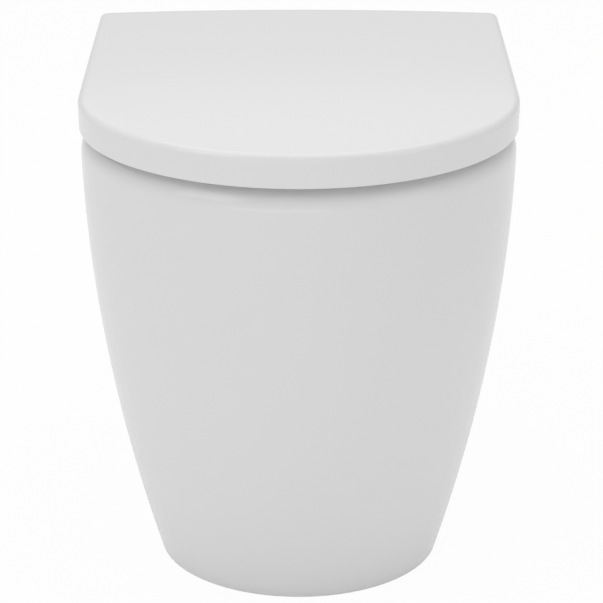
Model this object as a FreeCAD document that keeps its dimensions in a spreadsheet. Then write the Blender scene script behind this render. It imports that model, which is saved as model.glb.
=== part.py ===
import FreeCAD, Part
import Sketcher
import math
import os
import re
from FreeCAD import Placement, Rotation, Vector

# A back-to-wall rimless toilet: one vitreous-china pan that holds the bowl and its trap, a seat ring
# and a wrap-over lid on one damped, quick-release hinge pair.
# The frame is +Z up, +Y towards the wall, its origin on the floor under the middle of the whole part.

# Every driving size in millimetres, or in degrees where the name says angle.
SIZES = (
    # the whole part
    ("projection", 555),
    ("overrun", 5),
    ("fit_gap", 0.3),
    ("running_gap", 0.05),
    # the pan's outer shell
    ("pan_height", 400),
    ("foot_width", 244),
    ("nose_setback", 2.5),
    ("foot_setback", 106),
    ("shell_wall", 12),
    ("deck_thickness", 14),
    ("deck_edge_radius", 9),
    # the bowl
    ("bowl_front", 45),
    ("bowl_length", 335),
    ("bowl_width", 276),
    ("rim_land", 44),
    ("bowl_wall", 11),
    ("lip_depth", 38),
    ("lip_radius", 6),
    ("bowl_joint_height", 290),
    ("sump_joint_height", 180),
    # the trap
    ("trap_bore", 74),
    ("trap_wall", 12),
    ("sump_height", 80),
    ("crown_lift", 24),
    ("outlet_height", 180),
    ("sump_back_from_front", 255),
    ("sump_width", 92),
    ("sump_top", 150),
    ("outlet_run", 17.911),
    ("rise_radius", 58),
    ("crown_radius", 52),
    ("fall_radius", 54),
    ("rise_angle", 60),
    ("fall_angle", 34),
    ("spigot_width", 102),
    ("spigot_length", 20),
    ("outlet_recess", 16),
    # the flush inlet
    ("inlet_height", 333),
    ("inlet_recess", 60),
    ("socket_bore", 55),
    ("socket_depth", 34),
    ("channel_bore", 44),
    ("inlet_wall", 11),
    ("seal_bore", 45),
    ("seal_flange", 62),
    ("seal_flange_thickness", 3),
    # the flush distributor
    ("nozzle_length", 22),
    ("nozzle_wall", 2.5),
    ("deflector_width", 74),
    ("deflector_height", 24),
    ("deflector_thickness", 3),
    ("deflector_stand", 14),
    ("deflector_rib", 3),
    ("deflector_rib_spacing", 30),
    # the side fixings
    ("fixing_height", 32),
    ("fixing_recess", 84),
    ("fixing_bore", 7),
    ("fixing_boss", 32),
    ("fixing_boss_depth", 13),
    ("cap_width", 20),
    ("cap_sink", 0.2),
    ("cap_pocket_depth", 7.5),
    ("side_screw", 6),
    ("side_screw_head", 12),
    ("side_screw_head_height", 2.4),
    ("side_screw_length", 34),
    ("bracket_length", 60),
    ("bracket_depth", 36),
    ("bracket_base", 5),
    ("bracket_upright", 16),
    ("bracket_height", 48),
    ("floor_hole", 8.5),
    ("floor_hole_inset", 40),
    # the hinge posts
    ("hinge_spacing", 155),
    ("hinge_from_front", 445.5),
    ("axis_lift", 15.5),
    ("deck_hole", 15),
    ("gasket_width", 27),
    ("gasket_thickness", 1.2),
    ("flange_width", 25),
    ("flange_thickness", 2.4),
    ("post_width", 10),
    ("post_top", 5.5),
    ("post_chamfer", 1),
    ("groove_depth", 0.9),
    ("groove_height", 1.9),
    ("groove_drop", 5),
    ("stud_width", 6),
    ("stud_length", 40),
    ("plug_flare", 17),
    ("plug_length", 26),
    ("nut_width", 10),
    ("nut_height", 5),
    # the hinge blocks
    ("block_width", 30),
    ("hinge_radius", 10.5),
    ("block_rear", 7.5),
    ("shaft_width", 8),
    ("shaft_flat", 1),
    ("shaft_seat", 8),
    ("shaft_reach", 22),
    ("clip_wire", 1.5),
    ("clip_tail", 6),
    ("clip_bend_front", 3),
    ("button_width", 16),
    ("button_height", 7.5),
    ("button_drop", 5.4),
    ("button_proud", 3),
    ("button_stroke", 2.3),
    ("button_depth", 4.5),
    ("button_chamfer", 0.8),
    # the dampers
    ("lug_length", 48),
    ("damper_width", 14),
    ("damper_length", 44),
    ("bore_end", 1),
    # the seat
    ("seat_gap", 3),
    ("seat_thickness", 20),
    ("seat_setback", 8.5),
    ("seat_back", 16),
    ("seat_corner_radius", 20),
    ("seat_hole_front", 70),
    ("seat_hole_length", 280),
    ("seat_cover", 29),
    ("seat_outer_radius", 5),
    ("seat_inner_radius", 8),
    ("arm_thickness", 16),
    ("buffer_width", 24),
    # the lid
    ("lid_overhang", 1.5),
    ("lid_back", 9.5),
    ("lid_draft", 0.5),
    ("lid_gap", 3),
    ("lid_edge_radius", 6),
    ("lid_corner_radius", 7),
    ("lid_wall", 4),
    ("lid_top", 32.5),
    ("lid_shoulder", 22),
    ("lid_under_gap", 0.3),
    ("crown_across", 5000),
    ("crown_along", 15000),
    ("hinge_gap_end", 9.2),
    ("lid_heel_radius", 8),
    ("lid_buffer_width", 18),
)

# Places and sizes that follow from the driving ones.
DERIVED = {
    "front_y": "-projection/2",
    "wall_y": "projection/2",
    "bowl_half": "bowl_width/2",
    "rim_half": "bowl_half + rim_land",
    "foot_half": "foot_width/2",
    "lid_half": "rim_half + lid_overhang",
    "lid_centre_y": "front_y + lid_half",
    "rim_centre_y": "front_y + nose_setback + rim_half",
    "foot_centre_y": "front_y + foot_setback + foot_half",
    "deck_under": "pan_height - deck_thickness",
    "bowl_front_y": "front_y + bowl_front",
    "bowl_back_y": "bowl_front_y + bowl_length",
    "ledge_height": "pan_height - lip_depth",
    "sump_y": "front_y + sump_back_from_front",
    "sump_floor": "sump_height - trap_bore/2",
    "outlet_y": "wall_y - outlet_recess",
    "rise_z": "sump_height + rise_radius",
    "crown_z": "outlet_height + crown_lift - crown_radius",
    "fall_z": "outlet_height + fall_radius",
    "fall_run": "(crown_z - fall_z + (crown_radius + fall_radius)*cos(fall_angle))/tan(fall_angle)",
    "fall_y": "outlet_y - outlet_run",
    "crown_y": "fall_y - fall_run - (crown_radius + fall_radius)*sin(fall_angle)",
    "crown_run": "(crown_z - rise_z + (crown_radius + rise_radius)*cos(rise_angle))/tan(rise_angle)",
    "rise_y": "crown_y - crown_run - (crown_radius + rise_radius)*sin(rise_angle)",
    "trap_outer": "trap_bore/2 + trap_wall",
    "inlet_y": "wall_y - inlet_recess",
    "inlet_outer": "socket_bore/2 + inlet_wall",
    "axis_y": "front_y + hinge_from_front",
    "axis_z": "pan_height + axis_lift",
    "post_x": "hinge_spacing/2",
    "flange_top": "gasket_thickness + flange_thickness",
    "block_base": "axis_lift - flange_top - fit_gap",
    "shaft_bore": "shaft_width/2 + running_gap",
    "lug_start": "block_width/2 + fit_gap",
    "seat_under": "pan_height + seat_gap",
    "seat_top": "seat_under + seat_thickness",
    "seat_half": "lid_half - seat_setback",
    "seat_centre_y": "lid_centre_y",
    "seat_back_y": "axis_y - seat_back",
    "lid_bottom": "pan_height + lid_gap",
    "lid_back_y": "axis_y + lid_back",
    "lid_under": "axis_z + hinge_radius + lid_under_gap",
    "fixing_y": "wall_y - fixing_recess",
    "boss_face": "fixing_x - shell_wall - fixing_boss_depth",
    "channel_mouth_y": "bowl_back_y - bowl_half*inlet_mouth_share",
    "groove_z": "-groove_drop",
    "clip_leg": "post_width/2 - groove_depth + clip_wire/2 + running_gap",
    "seat_hole_half": "bowl_half - seat_cover",
    "pad_ring": "(seat_half + seat_hole_half)/2",
    "hinge_gap_half": "post_x + lug_start + lug_length + hinge_gap_end",
    # the shell wall's lean at the height of the side fixings
    "wall_lean": "atan((rim_half - foot_half)*foot_lean_share/pan_height)",
    "fixing_x": "foot_half + (rim_half - foot_half)*foot_lean_share*fixing_height/pan_height",
}

# The pan's outline rises in even steps.
shellSteps = 12
# Bends of the latch clip's round nose.
clipTurns = 4
# Every rounded rim is two short slopes: shares of its radius, down from the top and in from the side.
rimDropShares = (1, 0.3, 0)
rimInsetShares = (0, 0.3, 1)
# The lid's edge above its shoulder: shares of the rise to the top, and of the edge's radius.
lidRiseShares = (0.4, 1)
lidInsetShares = (0.25, 1.3)
# The bowl below the ledge: shares of the ledge's height and of half the bowl's width.
bowlHeightShares = (1, 0.85, 0.7, 0.56, 0.44, 0.34)
bowlHalfShares = (0.942, 0.848, 0.727, 0.565, 0.375, 0.18)
# The sump under the bowl: shares of its depth from its floor, and of its width at the top.
sumpHeightShares = (0, 0.22, 1)
sumpHalfShares = (0.55, 0.78, 1)
# The power by which the pan swells, the wall's lean near the foot, the inlet's mouth in the bowl's back,
# and where the buffers stand.
SHARES = {"swell_share": "1.81", "foot_lean_share": "1.67", "inlet_mouth_share": "0.1",
          "front_buffer_side_share": "0.694", "front_buffer_fore_share": "0.72",
          "back_buffer_side_share": "0.99", "back_buffer_aft_share": "1"}

doc = FreeCAD.newDocument("rimless_toilet")
sheet = doc.addObject("Spreadsheet::Sheet", "Sizes")
for row, (alias, size) in enumerate(SIZES, start=1):
    sheet.set("A%d" % row, alias)
    sheet.set("B%d" % row, str(size))
    sheet.setAlias("B%d" % row, alias)
doc.recompute()
sizeNames = {alias for alias, size in SIZES}


def cells(text):
    """Write a sum of size names as an expression that reads the sheet."""
    def word(found):
        name = found.group(0)
        if name in DERIVED:
            return "(" + cells(DERIVED[name]) + ")"
        if name in SHARES:
            return SHARES[name]
        return "Sizes." + name if name in sizeNames else name
    return re.sub(r"[a-z][a-z_0-9]*", word, str(text))


def value(text):
    """The present value of a sum of size names."""
    found = sheet.evalExpression(cells(text))
    return float(getattr(found, "Value", found))


def bind(thing, **sizes):
    """Tie properties of an object to sums of size names."""
    for name, text in sizes.items():
        thing.setExpression(name.replace("__", "."), cells(text))
    return thing


def newBody(name, x="0", y="0", z="0"):
    """Start a sub-part whose own origin stands at x, y, z."""
    body = doc.addObject("PartDesign::Body", name)
    body.Label = name
    bind(body, Placement__Base__x=x, Placement__Base__y=y, Placement__Base__z=z)
    return body


def newSketch(body, name, plane, offset="0", up="0"):
    """A sketch on one of the body's origin planes, moved along the plane's normal by offset."""
    sketch = body.newObject("Sketcher::SketchObject", body.Name + "_" + name)
    role = plane + "_Plane"
    sketch.AttachmentSupport = (next(f for f in body.Origin.OriginFeatures if f.Role == role), [""])
    sketch.MapMode = "FlatFace"
    bind(sketch, AttachmentOffset__Base__y=up, AttachmentOffset__Base__z=offset)
    return sketch


def tie(sketch, kind, text, *where):
    """Add a constraint whose size follows a sum of size names."""
    row = sketch.addConstraint(Sketcher.Constraint(kind, *where, value(text)))
    sketch.setExpression("Constraints[%d]" % row, cells(text))


def fix(sketch, edge, point, x=None, y=None):
    """Hold a point of an edge at x, y."""
    for kind, text in (("DistanceX", x), ("DistanceY", y)):
        if text is not None:
            tie(sketch, kind, text, edge, point)


def join(sketch, edges):
    """Join the end of each edge to the start of the next, round a closed outline."""
    for one, other in zip(edges, edges[1:] + edges[:1]):
        sketch.addConstraint(Sketcher.Constraint("Coincident", one, 2, other, 1))


def spot(x, y):
    return Vector(value(x), value(y), 0)


def line(sketch, start, end):
    return sketch.addGeometry(Part.LineSegment(spot(*start), spot(*end)), False)


def arc(sketch, centre, radius, first, last):
    """An arc of a circle from angle first to angle last, both in quarter turns, anticlockwise."""
    circle = Part.Circle(spot(*centre), Vector(0, 0, 1), value(radius))
    turn = math.pi / 2
    edge = sketch.addGeometry(Part.ArcOfCircle(circle, first * turn, last * turn), False)
    fix(sketch, edge, 3, *centre)
    tie(sketch, "Radius", radius, edge)
    return edge


def polygon(sketch, corners):
    """A closed outline of straight edges."""
    edges = [line(sketch, one, other) for one, other in zip(corners, corners[1:] + corners[:1])]
    join(sketch, edges)
    for edge, corner in zip(edges, corners):
        fix(sketch, edge, 1, *corner)


def polyline(sketch, corners):
    """An open path of straight edges."""
    edges = [line(sketch, one, other) for one, other in zip(corners, corners[1:])]
    for one, other in zip(edges, edges[1:]):
        sketch.addConstraint(Sketcher.Constraint("Coincident", one, 2, other, 1))
    for edge, corner in zip(edges, corners):
        fix(sketch, edge, 1, *corner)
    fix(sketch, edges[-1], 2, *corners[-1])


def rectangle(sketch, x0, x1, y0, y1):
    polygon(sketch, [(x0, y0), (x1, y0), (x1, y1), (x0, y1)])


def circle(sketch, x, y, radius):
    edge = sketch.addGeometry(Part.Circle(spot(x, y), Vector(0, 0, 1), value(radius)), False)
    fix(sketch, edge, 3, x, y)
    tie(sketch, "Radius", radius, edge)


def dOutline(sketch, half, centre, back, corner=None):
    """A half round front, two straight sides, and a back with square or round corners."""
    half = "(%s)" % half
    left = "-" + half
    nose = arc(sketch, ("0", centre), half, 2, 4)
    fix(sketch, nose, 1, None, centre)
    fix(sketch, nose, 2, None, centre)
    if corner is None:
        edges = [
            nose,
            line(sketch, (half, centre), (half, back)),
            line(sketch, (half, back), (left, back)),
            line(sketch, (left, back), (left, centre)),
        ]
        join(sketch, edges)
        fix(sketch, edges[2], 1, half, back)
        fix(sketch, edges[3], 1, left, back)
        return
    inner = "(%s - (%s))" % (half, corner)
    turnY = "%s - (%s)" % (back, corner)
    edges = [
        nose,
        line(sketch, (half, centre), (half, turnY)),
        arc(sketch, (inner, turnY), corner, 0, 1),
        line(sketch, (inner, back), ("-" + inner, back)),
        arc(sketch, ("-" + inner, turnY), corner, 1, 2),
        line(sketch, (left, turnY), (left, centre)),
    ]
    join(sketch, edges)
    fix(sketch, edges[2], 1, None, turnY)
    fix(sketch, edges[2], 2, inner, None)
    fix(sketch, edges[4], 1, "-" + inner, None)
    fix(sketch, edges[4], 2, None, turnY)


def flatRound(sketch, radius, flat):
    """A circle at the sketch's origin with one flat, cut this far in from its top."""
    high = "(%s - (%s))" % (radius, flat)
    lean = math.asin(value(high) / value(radius)) / (math.pi / 2)
    edge = arc(sketch, ("0", "0"), radius, 2 - lean, 4 + lean)
    reach = "(%s)*cos(asin(%s/(%s)))" % (radius, high, radius)
    chord = line(sketch, (reach, high), ("-" + reach, high))
    join(sketch, [edge, chord])
    fix(sketch, edge, 1, None, high)
    fix(sketch, edge, 2, None, high)


def slotOutline(sketch, half, front, back):
    """Two half rounds joined by straight sides."""
    left = "-(%s)" % half
    frontCentre = "%s + %s" % (front, half)
    backCentre = "%s - (%s)" % (back, half)
    edges = [
        arc(sketch, ("0", frontCentre), half, 2, 4),
        line(sketch, (half, frontCentre), (half, backCentre)),
        arc(sketch, ("0", backCentre), half, 0, 2),
        line(sketch, (left, backCentre), (left, frontCentre)),
    ]
    join(sketch, edges)
    for edge, centre in ((edges[0], frontCentre), (edges[2], backCentre)):
        fix(sketch, edge, 1, None, centre)
        fix(sketch, edge, 2, None, centre)


def pad(body, sketch, length, name, both=False, reverse=False):
    """Add the sketch's outline, drawn out along its normal, or to both sides of it."""
    feature = body.newObject("PartDesign::Pad", body.Name + "_" + name)
    feature.Profile = sketch
    feature.SideType = "Symmetric" if both else "One side"
    feature.Reversed = reverse
    return bind(feature, Length=length)


def pocket(body, sketch, length, name, both=False, reverse=False):
    """Cut the sketch's outline against its normal, or with reverse along it."""
    feature = body.newObject("PartDesign::Pocket", body.Name + "_" + name)
    feature.Profile = sketch
    feature.SideType = "Symmetric" if both else "One side"
    feature.Reversed = reverse
    return bind(feature, Length=length)


def loft(body, sketches, name, cut=False, ruled=False):
    kind = "PartDesign::SubtractiveLoft" if cut else "PartDesign::AdditiveLoft"
    feature = body.newObject(kind, body.Name + "_" + name)
    feature.Profile = sketches[0]
    feature.Sections = sketches[1:]
    feature.Ruled = ruled
    return feature


def pipe(body, profile, path, name, cut=False):
    kind = "PartDesign::SubtractivePipe" if cut else "PartDesign::AdditivePipe"
    feature = body.newObject(kind, body.Name + "_" + name)
    feature.Profile = profile
    feature.Spine = (path, [])
    feature.Transition = "Right corner"
    return feature


def revolve(body, sketch, name):
    """Turn the sketch's outline right round its own upright axis."""
    feature = body.newObject("PartDesign::Revolution", body.Name + "_" + name)
    feature.Profile = sketch
    feature.ReferenceAxis = (sketch, ["V_Axis"])
    feature.Angle = 360
    return feature


def dress(body, kind, name, chosen):
    """Round or bevel the edges of the body so far that the test picks out."""
    doc.recompute()
    base = body.Tip
    edges = ["Edge%d" % number for number, edge in enumerate(base.Shape.Edges, start=1) if chosen(edge)]
    feature = body.newObject(kind, body.Name + "_" + name)
    feature.Base = (base, edges)
    return feature


def primitive(kind, name, x="0", y="0", z="0", along="Z", **sizes):
    """A Part primitive whose axis points along X, Y or Z from its base at x, y, z."""
    thing = doc.addObject("Part::" + kind, name)
    turns = {"Z": Rotation(), "X": Rotation(Vector(0, 1, 0), 90), "Y": Rotation(Vector(1, 0, 0), -90)}
    thing.Placement = Placement(Vector(0, 0, 0), turns[along])
    bind(thing, Placement__Base__x=x, Placement__Base__y=y, Placement__Base__z=z, **sizes)
    return thing


def cylinder(name, radius, height, x="0", y="0", z="0", along="Z"):
    return primitive("Cylinder", name, x, y, z, along, Radius=radius, Height=height)


def block(name, length, width, height, x="0", y="0", z="0"):
    return primitive("Box", name, x, y, z, Length=length, Width=width, Height=height)


def fuse(name, *shapes):
    feature = doc.addObject("Part::MultiFuse", name)
    feature.Shapes = list(shapes)
    feature.Refine = True
    return feature


def cut(name, base, tool):
    feature = doc.addObject("Part::Cut", name)
    feature.Base = base
    feature.Tool = tool
    feature.Refine = True
    return feature


def common(name, *shapes):
    feature = doc.addObject("Part::MultiCommon", name)
    feature.Shapes = list(shapes)
    feature.Refine = True
    return feature


def group(name, *shapes):
    """Several loose solids that share a node."""
    feature = doc.addObject("Part::Compound", name)
    feature.Links = list(shapes)
    return feature


# The pan: one piece of fired china, kept as the forms that a caster sticks together

def shellSections(body, name, rows, inset, back):
    """The pan's outline at each height, drawn in by an inset and by the row's own rounding."""
    sections = []
    for height, drawn in rows:
        sketch = newSketch(body, "%s_%d" % (name, len(sections)), "XY", height)
        swell = "(1 - (1 - (%s)/pan_height)^swell_share)" % height
        half = "foot_half + (rim_half - foot_half)*%s - (%s) - (%s)" % (swell, inset, drawn)
        dOutline(sketch, half, "foot_centre_y + (rim_centre_y - foot_centre_y)*%s" % swell, back)
        sections.append(sketch)
    return sections


def trimBack(body):
    """Cut the open back off flat, in the plane of the wall."""
    beyond = newSketch(body, "beyond", "XZ", "-wall_y - 2*overrun")
    rectangle(beyond, "-2*rim_half", "2*rim_half", "-overrun", "pan_height + overrun")
    pocket(body, beyond, "2*overrun", "beyond", reverse=True)


def slotSections(body, name, rows, front, back):
    """Outlines of the bowl, each row a height and how far it stands inside the opening."""
    sections = []
    for height, drawn in rows:
        sketch = newSketch(body, "%s_%d" % (name, len(sections)), "XY", height)
        slotOutline(sketch, "(bowl_half - (%s))" % drawn, "%s + %s" % (front, drawn),
                    "%s - (%s)" % (back, drawn))
        sections.append(sketch)
    return sections


def bowlRows(wall, every=1):
    """The bowl from the ledge down to its trough, thickened by a wall."""
    return [("ledge_height*%g - %s" % (height, wall), "(bowl_half*%.6g - %s)" % (1 - half, wall))
            for height, half in zip(bowlHeightShares[::every], bowlHalfShares[::every])]


def lipRows():
    """The upright lip round the opening, its top edge rounded."""
    rows = [("ledge_height", "0")]
    for drop, draw in zip(rimDropShares, rimInsetShares):
        rows.append(("pan_height - lip_radius*%g" % drop, "(-lip_radius*%g)" % draw))
    return rows


def sumpSections(body, name, wall):
    """The round sump at the foot of the bowl, thickened by a wall."""
    sections = []
    for height, half in zip(sumpHeightShares, sumpHalfShares):
        place = "sump_floor - %s + (sump_top - sump_floor + %s)*%g" % (wall, wall, height)
        sketch = newSketch(body, "%s_%d" % (name, len(sections)), "XY", place)
        circle(sketch, "0", "sump_y", "sump_width/2*%g + %s" % (half, wall))
        sections.append(sketch)
    return sections


def bend(centre, radius, start, turn, steps):
    """Corners of a path that goes round a bend in even turns, each leg touching the bend's circle."""
    side = "-" if turn.startswith("-") else ""
    corners = []
    for step in range(steps):
        angle = "(%s + (%s)*%.6g)" % (start, turn, (step + 0.5) / steps)
        reach = "%s%s/cos((%s)*%.6g)" % (side, radius, turn, 0.5 / steps)
        corners.append(("%s_y + (%s)*sin(%s)" % (centre, reach, angle),
                        "%s_z - (%s)*cos(%s)" % (centre, reach, angle)))
    return corners


def trapPath(body):
    """The trap's centre line: out of the sump, up to the crown, over it and down to the level outlet."""
    corners = [("sump_y", "sump_height")]
    corners += bend("rise", "rise_radius", "0", "rise_angle", 2)
    corners += bend("crown", "crown_radius", "rise_angle", "-(rise_angle + fall_angle)", 4)
    corners += bend("fall", "fall_radius", "(-fall_angle)", "fall_angle", 2)
    corners.append(("outlet_y", "outlet_height"))
    path = newSketch(body, "trap_path", "YZ")
    polyline(path, corners)
    return path


def roundOnBack(body, name, height, radius, at):
    """A circle that faces the wall, at a height on the middle line."""
    sketch = newSketch(body, name, "XZ", "-(%s)" % at)
    circle(sketch, "0", height, radius)
    return sketch


def panSkirt():
    """The outer wall, open at the back and below, with a boss for each side fixing."""
    body = newBody("pan_skirt")
    rows = [("deck_under*%.6g" % (step / shellSteps), "0") for step in range(shellSteps + 1)]
    loft(body, shellSections(body, "shell", rows, "0", "wall_y + overrun"), "shell", ruled=True)
    hollow = shellSections(body, "hollow", rows, "shell_wall", "wall_y + 2*overrun")
    loft(body, hollow, "hollow", cut=True, ruled=True)
    trimBack(body)
    for side, reverse in (("", False), ("-", True)):
        hand = "_left" if reverse else "_right"
        boss = newSketch(body, "boss" + hand, "YZ", side + "boss_face")
        circle(boss, "fixing_y", "fixing_height", "fixing_boss/2")
        pad(body, boss, "fixing_boss_depth + shell_wall/2", "boss", reverse=reverse)
        for name, radius, start in (("bore", "fixing_bore/2", "boss_face - overrun"),
                                    ("cap_pocket", "cap_width/2 + cap_sink", "fixing_x - cap_pocket_depth")):
            place = newSketch(body, name + hand, "YZ", "%s(%s)" % (side, start))
            circle(place, "fixing_y", "fixing_height", radius)
            pocket(body, place, "shell_wall + fixing_boss_depth + 3*overrun", name, reverse=not reverse)
    return body


def panDeck():
    """The flat top with the bowl's opening and the two hinge holes."""
    body = newBody("pan_deck")
    rows = [("deck_under", "0")]
    rows += [("pan_height - deck_edge_radius*%g" % drop, "deck_edge_radius*%g" % draw)
             for drop, draw in zip(rimDropShares, rimInsetShares)]
    loft(body, shellSections(body, "slab", rows, "0", "wall_y + overrun"), "slab", ruled=True)
    trimBack(body)
    lip = slotSections(body, "lip", lipRows(), "bowl_front_y", "bowl_back_y")
    loft(body, lip, "lip", cut=True, ruled=True)
    holes = newSketch(body, "holes", "XY", "pan_height")
    for side in ("", "-"):
        circle(holes, side + "post_x", "axis_y", "deck_hole/2")
    pocket(body, holes, "deck_thickness + overrun", "holes")
    return body


def bowlForm():
    """The outside of the lip, the bowl and the sump as one solid."""
    body = newBody("bowl_form")
    neck = newSketch(body, "neck", "XY", "ledge_height - bowl_wall")
    slotOutline(neck, "(bowl_half + bowl_wall)", "bowl_front_y - bowl_wall", "bowl_back_y + bowl_wall")
    pad(body, neck, "deck_under - ledge_height + bowl_wall", "neck")
    rows = bowlRows("bowl_wall", 2)[:-1] + bowlRows("bowl_wall")[-1:]
    loft(body, slotSections(body, "bowl", rows, "bowl_front_y", "bowl_back_y"), "bowl", ruled=True)
    loft(body, sumpSections(body, "sump", "trap_wall"), "sump", ruled=True)
    return body


def bowlRoom():
    """The room inside the lip, the bowl and the sump."""
    body = newBody("bowl_room")
    loft(body, slotSections(body, "lip", lipRows(), "bowl_front_y", "bowl_back_y"), "lip", ruled=True)
    loft(body, slotSections(body, "bowl", bowlRows("0"), "bowl_front_y", "bowl_back_y"), "bowl", ruled=True)
    loft(body, sumpSections(body, "sump", "0"), "sump", ruled=True)
    return body


def trapForm(name, radius):
    """A bent tube's outside or inside, along the trap's centre line."""
    body = newBody(name)
    path = trapPath(body)
    pipe(body, roundOnBack(body, "round", "sump_height", radius, "sump_y"), path, "tube")
    return body


def panForms():
    """The bowl in three forms, the trapway and the flush inlet, each cut clear of the others."""
    bowl, room = bowlForm(), bowlRoom()
    trap, trapWay = trapForm("trap_form", "trap_outer"), trapForm("trap_way", "trap_bore/2")
    spigot = roundOnBack(trap, "spigot", "outlet_height", "spigot_width/2", "outlet_y")
    pad(trap, spigot, "spigot_length", "spigot")
    start = "bowl_back_y - lip_depth"
    horn = cylinder("horn_form", "inlet_outer", "inlet_y - bowl_back_y + lip_depth", "0", start,
                    "inlet_height", "Y")
    channel = cylinder("channel", "channel_bore/2", "inlet_y - bowl_back_y + lip_depth", "0", start,
                       "inlet_height", "Y")
    socket = cylinder("socket", "socket_bore/2", "socket_depth + overrun", "0", "inlet_y - socket_depth",
                      "inlet_height", "Y")
    openBowl = cut("open_bowl", bowl, fuse("bowl_ways", room, trapWay, channel))
    heights = ("0", "sump_joint_height", "bowl_joint_height", "pan_height")
    slices = [common(name, openBowl, block(name + "_slice", "2*rim_half", "projection",
                                           "%s - %s" % (high, low), "-rim_half", "front_y", low))
              for name, low, high in zip(("pan_sump", "pan_bowl", "pan_lip"), heights, heights[1:])]
    return slices + [cut("pan_trapway", trap, fuse("trap_clearance", bowl, trapWay)),
                     cut("pan_inlet", horn, fuse("inlet_clearance", bowl, channel, socket))]


def flushDistributor():
    """The moulded splitter in the bowl's back that throws the flush water round both sides."""
    body = newBody("flush_distributor", "0", "channel_mouth_y", "inlet_height")
    nozzle = newSketch(body, "nozzle", "XZ")
    circle(nozzle, "0", "0", "channel_bore/2 - fit_gap")
    pad(body, nozzle, "nozzle_length", "nozzle", reverse=True)
    plate = newSketch(body, "plate", "XZ", "deflector_stand")
    rectangle(plate, "-deflector_width/2", "deflector_width/2", "-deflector_height/2", "deflector_height/2")
    pad(body, plate, "deflector_thickness", "plate")
    for side in ("", "-"):
        rib = newSketch(body, "rib" + ("_left" if side else "_right"), "XZ")
        middle = side + "deflector_rib_spacing/2"
        rectangle(rib, middle + " - deflector_rib/2", middle + " + deflector_rib/2",
                  "-deflector_height/3", "deflector_height/3")
        pad(body, rib, "deflector_stand", "rib")
    mouth = newSketch(body, "mouth", "XZ")
    circle(mouth, "0", "0", "channel_bore/2 - fit_gap - nozzle_wall")
    pocket(body, mouth, "nozzle_length + overrun", "mouth")
    front = value("-deflector_stand - deflector_thickness")
    feature = dress(body, "PartDesign::Chamfer", "plate_edge",
                    lambda edge: abs(edge.BoundBox.YMax - front) < 1e-3)
    bind(feature, Size="deflector_thickness/3")
    return body


def inletSeal():
    """The rubber sleeve in the inlet's socket, its flange against the horn's end."""
    sleeve = cylinder("seal_sleeve", "socket_bore/2 - running_gap", "socket_depth - fit_gap", "0",
                      "inlet_y - socket_depth + fit_gap", "inlet_height", "Y")
    flange = cylinder("seal_flange_disc", "seal_flange/2", "seal_flange_thickness", "0", "inlet_y",
                      "inlet_height", "Y")
    bore = cylinder("seal_bore_cut", "seal_bore/2", "socket_depth + 3*overrun", "0",
                    "inlet_y - socket_depth - overrun", "inlet_height", "Y")
    return cut("inlet_seal", fuse("seal_body", sleeve, flange), bore)


# The side fixings: a bracket on the floor inside the shell, a screw through the wall and a cap over it

def floorBracket(name, side):
    body = newBody(name, "0", "fixing_y", "0")
    profile = newSketch(body, "profile", "XZ")
    corners = [("boss_face - bracket_length", "0"), ("boss_face", "0"), ("boss_face", "bracket_height"),
               ("boss_face - bracket_upright/2", "bracket_height"),
               ("boss_face - bracket_upright", "bracket_base"), ("boss_face - bracket_length", "bracket_base")]
    corners = [(side + "(%s)" % x, z) for x, z in corners]
    polygon(profile, corners)
    pad(body, profile, "bracket_depth", "profile", both=True)
    hole = newSketch(body, "floor_hole", "XY", "bracket_base")
    circle(hole, side + "(boss_face - floor_hole_inset)", "0", "floor_hole/2")
    pocket(body, hole, "bracket_base + overrun", "floor_hole")
    thread = newSketch(body, "thread", "YZ", side + "boss_face")
    circle(thread, "0", "fixing_height", "side_screw/2 + running_gap")
    pocket(body, thread, "bracket_upright + overrun", "thread", reverse=bool(side))
    return body


def sideScrews():
    screws = []
    for side in ("", "-"):
        seat = side + "(fixing_x - cap_pocket_depth%s)"
        start = seat % (" - side_screw_length" if not side else "")
        shank = cylinder("screw_shank", "side_screw/2", "side_screw_length", start, "fixing_y",
                         "fixing_height", "X")
        start = seat % ("" if not side else " + side_screw_head_height")
        head = cylinder("screw_head", "side_screw_head/2", "side_screw_head_height", start, "fixing_y",
                        "fixing_height", "X")
        screws.append(fuse("side_screw", shank, head))
    return group("side_screws", *screws)


def sideCap(name, side):
    """A plug whose face lies flush with the leaning wall."""
    body = newBody(name, "0", "fixing_y", "0")
    plug = newSketch(body, "plug", "YZ", "%s(fixing_x - cap_pocket_depth + side_screw_head_height)" % side)
    circle(plug, "0", "fixing_height", "cap_width/2")
    pad(body, plug, "cap_pocket_depth - side_screw_head_height + overrun", "plug", reverse=bool(side))
    outside = newSketch(body, "outside", "XZ")
    low = "(fixing_x - cap_sink - cap_width*tan(wall_lean))"
    high = "(fixing_x - cap_sink + cap_width*tan(wall_lean))"
    polygon(outside, [(side + low, "fixing_height - cap_width"),
                      (side + "(fixing_x + 2*overrun)", "fixing_height - cap_width"),
                      (side + "(fixing_x + 2*overrun)", "fixing_height + cap_width"),
                      (side + high, "fixing_height + cap_width")])
    pocket(body, outside, "2*cap_width", "outside", both=True)
    return body


# The hinge posts on the deck

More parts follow.
